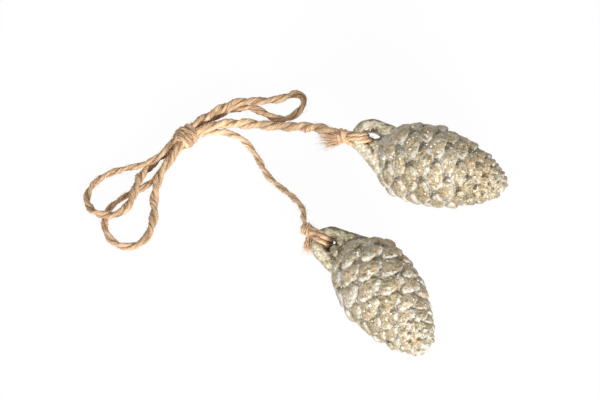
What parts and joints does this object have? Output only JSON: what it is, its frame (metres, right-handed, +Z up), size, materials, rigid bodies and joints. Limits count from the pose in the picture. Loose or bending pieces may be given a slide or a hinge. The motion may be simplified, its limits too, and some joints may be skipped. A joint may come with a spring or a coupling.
{
  "type": "pine cone ornament",
  "caption": "Cast pine cone pendants with cast hanging eyes, tied to the ends of a jute twine that is knotted in a bow.",
  "frame": {"origin": "on the table, under the middle of the two cones' joint box", "axes": "+Z up, +Y away from the viewer of the picture, +X to the viewer's right"},
  "size_m": [0.1495, 0.1129, 0.0295],
  "materials": {
    "gilded_casting": "Cast resin with a champagne-gold coat on the pads, a whitish wash along the scale edges, dark recesses and fine glitter. The eye is a brighter olive gold.",
    "jute": "Two-ply jute twine, golden tan with darker grooves, hairy and undyed."
  },
  "bodies": {
    "root": {"upper_cone": "gilded_casting", "lower_cone": "gilded_casting", "bow_knot": "jute", "upper_tie": "jute", "lower_tie": "jute", "twine_upper_tail": "jute", "twine_lower_tail": "jute", "twine_left_loop": "jute", "twine_lower_loop": "jute", "twine_right_loop": "jute"}
  },
  "joints": []
}
